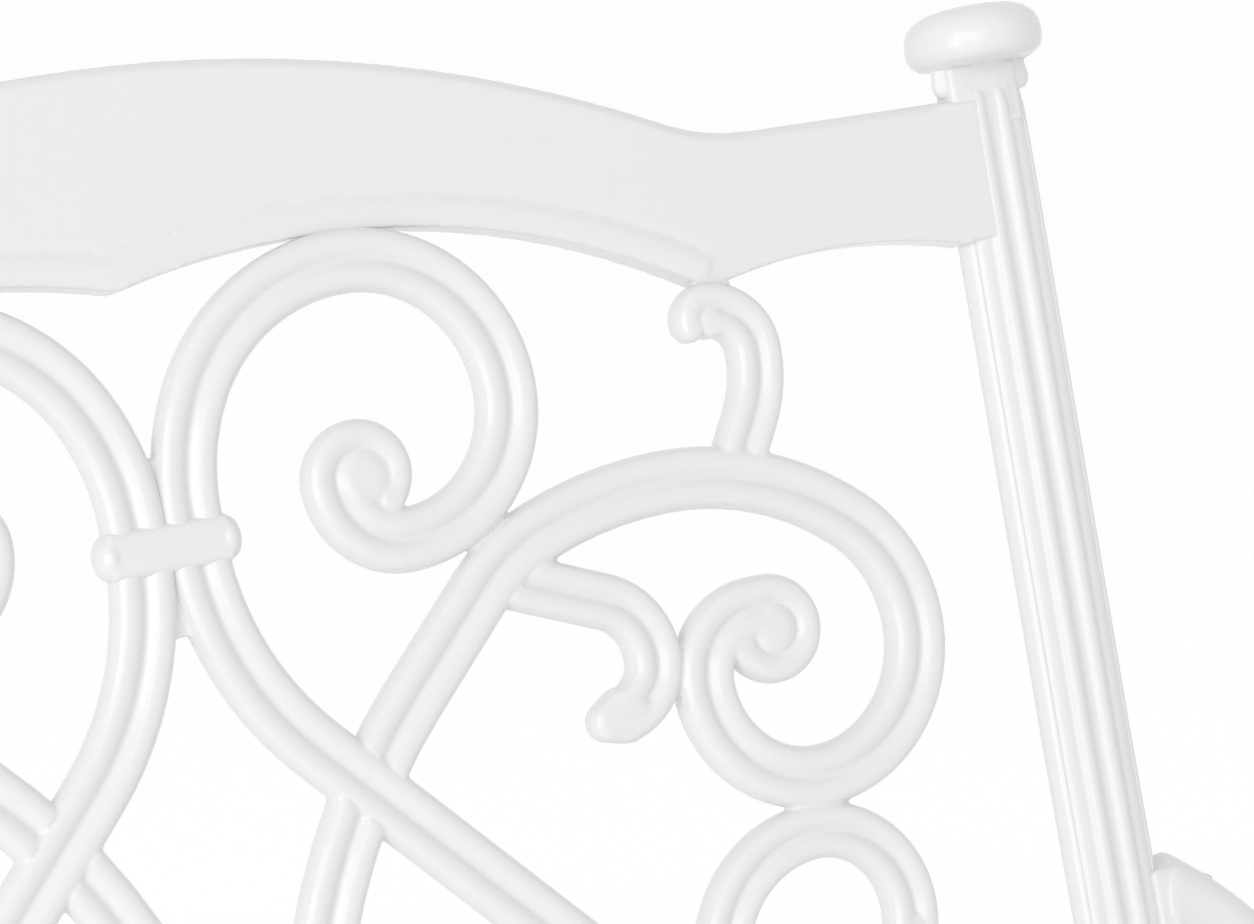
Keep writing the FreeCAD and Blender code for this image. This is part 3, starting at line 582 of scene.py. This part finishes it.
def side_matrix(x):
    """From a flat side view, with X forwards, Y up and Z to the left, to its place across the chair."""
    turn = Matrix(((0, 0, -1, 0), (-1, 0, 0, 0), (0, 1, 0, 0), (0, 0, 0, 1)))
    return Matrix.Translation((x * MM, BACK_Y, 0.0)) @ turn


def cad_copy(node, name):
    """A merged copy of a CAD node's mesh with flat faces whole."""
    select_only([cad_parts[node]])
    bpy.ops.object.duplicate()
    piece = named(bpy.context.object, name)
    piece.parent = None
    for key in list(piece.keys()):
        del piece[key]
    edit_all(piece)
    bpy.ops.mesh.remove_doubles(threshold=MERGE_GAP * MM)
    bpy.ops.mesh.dissolve_limited(angle_limit=math.radians(FLAT_ANGLE))
    bpy.ops.object.mode_set(mode="OBJECT")
    return piece


def edged_copy(node, name, slot, edge):
    """A CAD node with rounded edges."""
    piece = cad_copy(node, name)
    apply_modifier(
        piece, "BEVEL", width=edge, segments=EDGE_STEPS, limit_method="ANGLE",
        angle_limit=math.radians(SHARP_ANGLE), use_clamp_overlap=True)
    return finished(piece, slot, node)


def cut_by(piece, tools):
    for tool in tools:
        apply_modifier(piece, "BOOLEAN", operation="DIFFERENCE", object=tool, solver="EXACT")


def remove(pieces):
    for piece in pieces:
        bpy.data.objects.remove(piece)


def scroll_bar(name, at, heading, path):
    return swept(name, both_sides(BAR_HALF), at, heading, path)


def bar_room(name, at, heading, path):
    """A plain block a little narrower than a bar, to stop other bars inside its flanks."""
    half, high = BAR_RADIUS - ROOM_MARGIN, ROOM_HEIGHT
    return swept(name, [(half, high), (half, -high), (-half, -high), (-half, high)], at, heading, path)


def block(name, corners, edge):
    """A block between two corners in millimetres, with rounded edges."""
    low, high = Vector(corners[0]) * MM, Vector(corners[1]) * MM
    deselect_all()
    bpy.ops.mesh.primitive_cube_add(size=1.0, location=(low + high) / 2)
    piece = named(bpy.context.object, name)
    piece.scale = high - low
    bpy.ops.object.transform_apply(location=True, rotation=True, scale=True)
    if edge:
        apply_modifier(piece, "BEVEL", width=edge * MM, segments=EDGE_STEPS, limit_method="NONE")
    return piece


def end_button(name, at, radius, high=REED_TOP):
    """A rounded button: a reed's plain end, or the eye of a curl."""
    crown = [(radius * share, high - depth) for share, depth in BUTTON_CROWN]
    foot = [(radius - inset, height) for inset, height in BUTTON_FOOT]
    return turned(name, crown + foot + [(0.0, BAR_BACK)], at)


def round_end(at):
    """A bar's plain end: both reeds run round into each other."""
    return turned("round_end", [(across, out) for across, out in reversed(BAR_HALF)], at)


def curl(at, heading, radius, turns):
    """The bar's outer reed wound on round an eye, each turn tightened by its first number."""
    path = [(radius - REED_MIDDLE - tighten, turn) for tighten, turn in turns]
    start = moved(at, heading + 90, REED_MIDDLE)
    reed = swept("curl_reed", REED_OUTLINE, start, heading, path)
    inside = radius - BAR_RADIUS
    eye = end_button("curl_eye", moved(at, heading - 90, inside), inside + EYE_OVERLAP)
    return [reed, eye, end_button("curl_tip", path_end(start, heading, path)[0], CURL_TIP_RADIUS)]


def hook_bar(at, heading, path):
    outline = [(across * HOOK_SLIMNESS, out) for across, out in both_sides(BAR_HALF)]
    return swept("hook", outline, at, heading, path)


def wrapped_end(end, heading, wrap):
    """A hook's end whose inner reed stops and whose outer reed wraps on round it."""
    side = math.copysign(90, wrap[1])
    inner = moved(end, heading + side, REED_MIDDLE - INNER_DRAW)
    outer = moved(end, heading - side, REED_MIDDLE - OUTER_DRAW)
    tail = swept("hook_tail", both_sides(TAIL_HALF), outer, heading, [wrap])
    middle = moved(end, heading, HOOK_FILL_AHEAD)
    fill = end_button("hook_fill", middle, HOOK_FILL_RADIUS, HOOK_FILL_TOP)
    tip = end_button("hook_tip", path_end(outer, heading, [wrap])[0], HOOK_TIP_RADIUS)
    lobe = end_button("hook_lobe", inner, HOOK_LOBE_RADIUS)
    return [tail, tip, lobe, fill]


def tapered_end(end, heading, reach, radius):
    """A hook's end that narrows to a rounded tip at the given reach and radius."""
    buttons = []
    start = BAR_RADIUS * HOOK_SLIMNESS
    for index in range(TAPER_STEPS + 1):
        share = index / TAPER_STEPS
        at = moved(end, heading, reach * share)
        buttons.append(end_button("hook_taper", at, start + (radius - start) * share))
    return buttons


def hooks():
    """The three hooks of a quarter, each as its bar and the solids of its end."""
    made = []
    for one in (SIDE_HOOK, CANE_HOOK):
        made.append((hook_bar(*one), tapered_end(*path_end(*one), *HOOK_TAPER)))
    top = hook_bar(*TOP_HOOK)
    ends = wrapped_end(*path_end(*TOP_HOOK), TOP_HOOK_WRAP)
    return made + [(top, ends + [block("top_weld", TOP_WELD, WELD_EDGE)])]


def tie_web(up):
    """The thin web between two tied bars, above and below their collar."""
    corners = [(across, up + along, out) for across, along, out in TIE_WEB]
    return block("tie_web", corners, 0.0)


def quarter(loop_fall, side_path, ended, branches):
    """One quarter's bars: loop and lens in front, the side scroll and hooks stopped at them."""
    loop_path = LOOP_RISE_PATH + loop_fall
    rooms = [
        bar_room("lens_room", TIE_POINT, -90, LENS_PATH), bar_room("loop_room", TIE_POINT, 90, loop_path)]
    solids = [
        scroll_bar("lens", TIE_POINT, -90, LENS_PATH), scroll_bar("loop", TIE_POINT, 90, loop_path)]
    side = scroll_bar("side_scroll", SIDE_START, 90, side_path)
    cut_by(side, rooms)
    solids.append(side)
    solids += ended(path_end(TIE_POINT, 90, loop_path), path_end(SIDE_START, 90, side_path))
    solids += [tie_web(TIE_POINT[1]), tie_web(MIDDLE_UP)]
    rooms.append(bar_room("side_room", SIDE_START, 90, side_path))
    for bar, ends in branches:
        cut_by(bar, rooms)
        solids += [bar] + ends
    remove(rooms)
    return solids


def curled_ends(loop, side):
    return curl(*loop, *LOOP_CURL) + curl(*side, *SIDE_CURL)


def plain_ends(loop, side):
    return [round_end(loop[0]), round_end(side[0])]


class ARMCHAIR_OT_scrollwork(bpy.types.Operator):
    """Sweep the scroll bars of the back and melt each quarter into one casting"""

    bl_idname = "armchair.scrollwork"
    bl_label = "Scrollwork"

    def execute(self, context):
        upper = joined(
            quarter(LOOP_FALL_PATH, SIDE_SCROLL_PATH, curled_ends, hooks()), "upper_right_scrollwork")
        lower = joined(
            quarter(LOWER_LOOP_FALL_PATH, LOWER_SIDE_PATH, plain_ends, []), "lower_right_scrollwork")
        placed(lower, Matrix.Translation((0, 2 * MIDDLE_UP * MM, 0)) @ Matrix.Diagonal((1, -1, 1, 1)))
        face_outwards(lower)
        sizes = context.scene.armchair_castings
        for right in (upper, lower):
            melted(right, sizes.scroll_grain, sizes.softness)
            thinned(right, SCROLL_TRIANGLES)
            placed(right, back_matrix())
            finished_pair(right, "back_scroll_panel", MELTED_CREASE)
        return {"FINISHED"}


class ARMCHAIR_OT_collars(bpy.types.Operator):
    """Shape the collars that tie the scroll bars"""

    bl_idname = "armchair.collars"
    bl_label = "Collars"

    def execute(self, context):
        band = swept("band", both_sides(COLLAR_HALF), (-COLLAR_REACH, 0.0), 0, [(2 * COLLAR_REACH, 0.0)])
        knob = turned("knob", COLLAR_KNOB)
        ends = []
        for side in (-1, 1):
            place = Matrix.Translation((side * COLLAR_REACH * MM, 0, 0))
            ends.append(copied(knob, "knob_end", place @ Matrix.Rotation(math.pi / 2, 4, "Y")))
        remove([knob])
        collar = joined([band] + ends, "collar")
        melted(collar, COLLAR_GRAIN * MM, COLLAR_ROUNDS)
        heights = {"upper": TIE_POINT[1], "middle": MIDDLE_UP, "lower": 2 * MIDDLE_UP - TIE_POINT[1]}
        for name, up in heights.items():
            piece = copied(collar, name + "_tie", back_matrix() @ Matrix.Translation((0, up * MM, 0)))
            finished(piece, "white_coat", name + "_collar", crease=MELTED_CREASE)
        remove([collar])
        return {"FINISHED"}


class ARMCHAIR_OT_rails(bpy.types.Operator):
    """Soften the crest rail and the lower back rail, with the bead along the crest's arches"""

    bl_idname = "armchair.rails"
    bl_label = "Back rails"

    def execute(self, context):
        sizes = context.scene.armchair_castings
        solids = [cad_copy("crest_rail", "crest")]
        for right in (self.bead(), block("crest_lap", CREST_LAP, LAP_EDGE)):
            placed(right, back_matrix())
            solids += [right, mirror_image(right, "left_" + right.name)]
        crest = joined(solids, "crest")
        lower = cad_copy("lower_back_rail", "lower_rail")
        for piece, node in ((crest, "crest_rail"), (lower, "lower_back_rail")):
            melted(piece, sizes.rail_grain, RAIL_ROUNDS)
            thinned(piece, CASTING_TRIANGLES)
            finished(piece, "white_coat", node, crease=MELTED_CREASE)
        return {"FINISHED"}

    def bead(self):
        radius = ARCH_RADIUS + BEAD_RISE
        start = math.degrees(math.acos(-ARCH_CENTRE[0] / radius))
        end = math.degrees(math.acos((BEAD_END - ARCH_CENTRE[0]) / radius))
        return swept(
            "bead", both_sides(BEAD_HALF), moved(ARCH_CENTRE, start, radius), start - 90,
            [(radius, end - start)])


def shift_at(height, stations):
    """The shift at a height, between the stations that it lies between."""
    for (low, first), (high, second) in zip(stations, stations[1:]):
        if height <= high:
            return first + (second - first) * (height - low) / (high - low)
    return stations[-1][1]


def reeded_leg(name, x, at, heading, path, sway):
    """A reeded bar down to its glide, shifted outwards by its sway."""
    piece = swept(name, both_sides(POST_HALF), at, heading, path, edgewise=True)
    apply_modifier(piece, "SUBSURF", levels=SUBDIVISIONS, render_levels=SUBDIVISIONS)
    placed(piece, side_matrix(x))
    for vertex in piece.data.vertices:
        vertex.co.x += shift_at(vertex.co.z / MM, sway) * MM
    edit_all(piece)
    bpy.ops.mesh.bisect(
        plane_co=(0.0, 0.0, FOOT_HEIGHT * MM), plane_no=(0.0, 0.0, 1.0), use_fill=True, clear_inner=True)
    bpy.ops.object.mode_set(mode="OBJECT")
    return piece


def with_blocks(piece, blocks):
    for one in blocks:
        apply_modifier(piece, "BOOLEAN", operation="UNION", object=one, solver="EXACT", use_self=True)
    remove(blocks)
    return piece


class ARMCHAIR_OT_uprights(bpy.types.Operator):
    """Sweep the reeded posts that run down into the rear legs"""

    bl_idname = "armchair.uprights"
    bl_label = "Rear uprights"

    def execute(self, context):
        lean = context.scene.armchair_castings.recline
        start = (-POST_TOP * math.sin(lean), CUSP_HEIGHT + POST_TOP * math.cos(lean))
        right = reeded_leg("right_post", POST_X, start, math.degrees(lean) - 90, POST_PATH, POST_SWAY)
        blocks = [block("neck", POST_NECK, NECK_EDGE), block("knuckle", REAR_KNUCKLE, KNUCKLE_EDGE)]
        with_blocks(right, [placed(one, back_matrix()) for one in blocks])
        finished_pair(right, "right_rear_upright")
        return {"FINISHED"}


class ARMCHAIR_OT_finials(bpy.types.Operator):
    """Turn the mushroom caps on top of the posts"""

    bl_idname = "armchair.finials"
    bl_label = "Finials"

    def execute(self, context):
        right = turned("right_finial", FINIAL_PROFILE, steps=FINIAL_STEPS)
        for vertex in right.data.vertices:
            if vertex.co.z < RING_TOP * MM:
                vertex.co.y *= RING_DEPTH
        foot = Matrix.Translation(((POST_X + FINIAL_SHIFT) * MM, 0.0, -AXIS_DEPTH * MM))
        placed(right, back_matrix() @ foot @ Matrix.Rotation(-math.pi / 2, 4, "X"))
        finished_pair(right, "finials")
        return {"FINISHED"}


class ARMCHAIR_OT_arms(bpy.types.Operator):
    """Sweep the arms with their rolled hands and narrow their rear lugs"""

    bl_idname = "armchair.arms"
    bl_label = "Arms"

    def execute(self, context):
        bar = swept("arm_bar", both_sides(ARM_HALF), ARM_START, 0, ARM_PATH, edgewise=True)
        apply_modifier(bar, "SUBSURF", levels=SUBDIVISIONS, render_levels=SUBDIVISIONS)
        placed(bar, side_matrix(ARM_X))
        for vertex in bar.data.vertices:
            forward = (BACK_Y - vertex.co.y) / MM
            if forward < FLARE_END:
                vertex.co.x = ARM_INNER * MM + (vertex.co.x - ARM_INNER * MM) * self.share(forward)
        root = placed(block("lug_root", LUG_ROOT, ROOT_EDGE), back_matrix())
        right = joined([bar, root], "right_armrest")
        melted(right, context.scene.armchair_castings.arm_grain, ARM_ROUNDS)
        thinned(right, CASTING_TRIANGLES)
        finished_pair(right, "right_arm", MELTED_CREASE)
        return {"FINISHED"}

    def share(self, forward):
        """The share of the arm's width at a forward distance: the lug's, an easy flare, then all of it."""
        along = min(1.0, max(0.0, (forward - LUG_END) / (FLARE_END - LUG_END)))
        return LUG_SHARE + (1.0 - LUG_SHARE) * along * along * (3.0 - 2.0 * along)


class ARMCHAIR_OT_front_legs(bpy.types.Operator):
    """Sweep the front legs with their swan necks up to the arms"""

    bl_idname = "armchair.front_legs"
    bl_label = "Front legs"

    def execute(self, context):
        right = reeded_leg("right_front_post", FRONT_X, FRONT_START, -90, FRONT_PATH, FRONT_SWAY)
        knuckle = block("knuckle", FRONT_KNUCKLE, KNUCKLE_EDGE)
        with_blocks(right, [placed(knuckle, side_matrix(FRONT_X))])
        finished_pair(right, "right_front_leg")
        return {"FINISHED"}


class ARMCHAIR_OT_seat(bpy.types.Operator):
    """Round the edges of the seat rails, the grille and the brackets"""

    bl_idname = "armchair.seat"
    bl_label = "Seat"

    def execute(self, context):
        edge = context.scene.armchair_castings.edge
        rails = ["front_seat_rail", "rear_seat_rail", "right_side_seat_rail", "left_side_seat_rail"]
        for node in rails + ["seat_grille", "front_brackets", "rear_brackets"]:
            edged_copy(node, "soft_" + node, "white_coat", edge)
        return {"FINISHED"}


class ARMCHAIR_OT_fittings(bpy.types.Operator):
    """Chamfer the bolts and turn the glides"""

    bl_idname = "armchair.fittings"
    bl_label = "Bolts and glides"

    def execute(self, context):
        for node in ("arm_bolts", "seat_bolts"):
            edged_copy(node, "chamfered_" + node, "bolt_steel", BOLT_CHAMFER * MM)
        self.lower_heads(bpy.data.objects["chamfered_arm_bolts"])
        foot = turned("glide_foot", GLIDE_PROFILE)
        feet = []
        for x, forward in GLIDE_PLACES:
            for side in (-1, 1):
                place = Matrix.Translation((side * x * MM, BACK_Y - forward * MM, 0.0))
                feet.append(copied(foot, "glide_foot", place))
        remove([foot])
        finished(joined(feet, "glide_feet"), "glide_nylon", "glides")
        return {"FINISHED"}

    def lower_heads(self, bolts):
        """Narrow the heads about the bolts' axis, so that they sit below the arms' tops."""
        low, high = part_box("arm_bolts")
        axis = (Vector(low) + Vector(high)) / 2
        for vertex in bolts.data.vertices:
            if abs(vertex.co.x) > LUG_OUTER * MM:
                vertex.co.y = axis.y + (vertex.co.y - axis.y) * HEAD_SHARE
                vertex.co.z = axis.z + (vertex.co.z - axis.z) * HEAD_SHARE


class ARMCHAIR_OT_stage(bpy.types.Operator):
    """Lay a pale floor, set soft studio light and place the camera"""

    bl_idname = "armchair.stage"
    bl_label = "Stage"

    def execute(self, context):
        sizes = context.scene.armchair_stage
        self.lay_floor(sizes)
        self.light_room(context, sizes.room)
        self.hang_lamp("strip_lamp", *STRIP_LAMP, sizes.strip)
        self.hang_lamp("front_lamp", *FRONT_LAMP, sizes.front)
        self.place_camera(context, sizes.lens)
        context.scene.view_settings.view_transform = "Standard"
        return {"FINISHED"}

    def seen(self, shade):
        """One for rays from the camera, for reflections and through glass, otherwise nought."""
        camera, glossy, through = (
            shade.node("ShaderNodeLightPath", {}, {}, output)
            for output in ("Is Camera Ray", "Is Glossy Ray", "Is Transmission Ray"))
        return camera + glossy + through

    def lay_floor(self, sizes):
        deselect_all()
        bpy.ops.mesh.primitive_plane_add(size=sizes.floor)
        floor = bpy.context.object
        floor.name = "floor"
        material, shade = new_material("pale_floor")
        matt = shade.node("ShaderNodeBsdfPrincipled", {}, {
            "Base Color": FLOOR_COLOUR, "Roughness": 0.8})
        place = shade.node("ShaderNodeTexCoord", {}, {}, "Object")
        away = shade.node("ShaderNodeVectorMath", {"operation": "LENGTH"}, {0: place}, "Value")
        brightness = shade.node(
            "ShaderNodeMapRange", {"interpolation_type": "SMOOTHSTEP"},
            {"Value": away, "From Min": GLOW_RISE[0], "From Max": GLOW_RISE[1],
             "To Min": NEAR_GLOW_SHARE, "To Max": 1.0})
        glow = shade.node("ShaderNodeEmission", {}, {
            "Color": brightness, "Strength": self.seen(shade) * FLOOR_GLOW})
        set_surface(shade, shade.node("ShaderNodeAddShader", {}, {0: matt, 1: glow}))
        floor.data.materials.append(material)

    def light_room(self, context, strength):
        world = bpy.data.worlds.new("white_room")
        context.scene.world = world
        world.use_nodes = True
        world.node_tree.nodes.clear()
        shade = Shade(world.node_tree)
        background = shade.node("ShaderNodeBackground", {}, {
            "Color": WHITE, "Strength": strength + self.seen(shade) * (1.0 - strength)})
        shade.node("ShaderNodeOutputWorld", {}, {"Surface": background})

    def hang_lamp(self, name, place, aim, size, power):
        deselect_all()
        bpy.ops.object.light_add(type="AREA", location=place)
        lamp = bpy.context.object
        lamp.name = name
        lamp.data.shape = "RECTANGLE"
        lamp.data.size, lamp.data.size_y = size
        lamp.data.energy = power
        lamp.rotation_euler = (Vector(aim) - Vector(place)).to_track_quat("-Z", "Y").to_euler()

    def place_camera(self, context, lens):
        azimuth, elevation, roll = (
            math.radians(angle) for angle in (CAMERA_AZIMUTH, CAMERA_ELEVATION, CAMERA_ROLL))
        forward = Vector((
            math.sin(azimuth) * math.cos(elevation), math.cos(azimuth) * math.cos(elevation),
            -math.sin(elevation)))
        level = Vector((math.cos(azimuth), -math.sin(azimuth), 0.0))
        upright = level.cross(forward)
        right = level * math.cos(roll) + upright * math.sin(roll)
        up = upright * math.cos(roll) - level * math.sin(roll)
        cusp = Vector((0.0, BACK_Y, CUSP_HEIGHT * MM))
        deselect_all()
        bpy.ops.object.camera_add()
        camera = context.object
        turn = Matrix((right, up, -forward)).transposed().to_4x4()
        camera.matrix_world = Matrix.Translation(cusp + Vector(CAMERA_PLACE)) @ turn
        camera.data.lens = lens
        camera.data.clip_start = 0.01
        context.scene.camera = camera


class ARMCHAIR_PT_panel(bpy.types.Panel):
    """Lists the armchair's steps and sizes."""

    bl_idname = "ARMCHAIR_PT_panel"
    bl_label = "Armchair"
    bl_space_type = "VIEW_3D"
    bl_region_type = "UI"
    bl_category = "Armchair"

    def draw(self, context):
        for group in GROUPS:
            settings = getattr(context.scene, group)
            for name in settings.__annotations__:
                self.layout.prop(settings, name)
        for step in STEPS:
            self.layout.operator(step.bl_idname)


STEPS = [
    ARMCHAIR_OT_scrollwork, ARMCHAIR_OT_collars, ARMCHAIR_OT_rails, ARMCHAIR_OT_uprights,
    ARMCHAIR_OT_finials, ARMCHAIR_OT_arms, ARMCHAIR_OT_front_legs, ARMCHAIR_OT_seat, ARMCHAIR_OT_fittings,
    ARMCHAIR_OT_stage]
GROUPS = {"armchair_castings": CastingSizes, "armchair_finishes": Finishes, "armchair_stage": StageSizes}


def register():
    for name, group in GROUPS.items():
        bpy.utils.register_class(group)
        setattr(bpy.types.Scene, name, bpy.props.PointerProperty(type=group))
    for step in STEPS:
        bpy.utils.register_class(step)
    bpy.utils.register_class(ARMCHAIR_PT_panel)


def unregister():
    bpy.utils.unregister_class(ARMCHAIR_PT_panel)
    for step in reversed(STEPS):
        bpy.utils.unregister_class(step)
    for name, group in GROUPS.items():
        delattr(bpy.types.Scene, name)
        bpy.utils.unregister_class(group)


def main():
    register()
    bpy.ops.armchair.scrollwork()
    bpy.ops.armchair.collars()
    bpy.ops.armchair.rails()
    bpy.ops.armchair.uprights()
    bpy.ops.armchair.finials()
    bpy.ops.armchair.arms()
    bpy.ops.armchair.front_legs()
    bpy.ops.armchair.seat()
    bpy.ops.armchair.fittings()
    bpy.ops.armchair.stage()


if __name__ == "__main__":
    main()
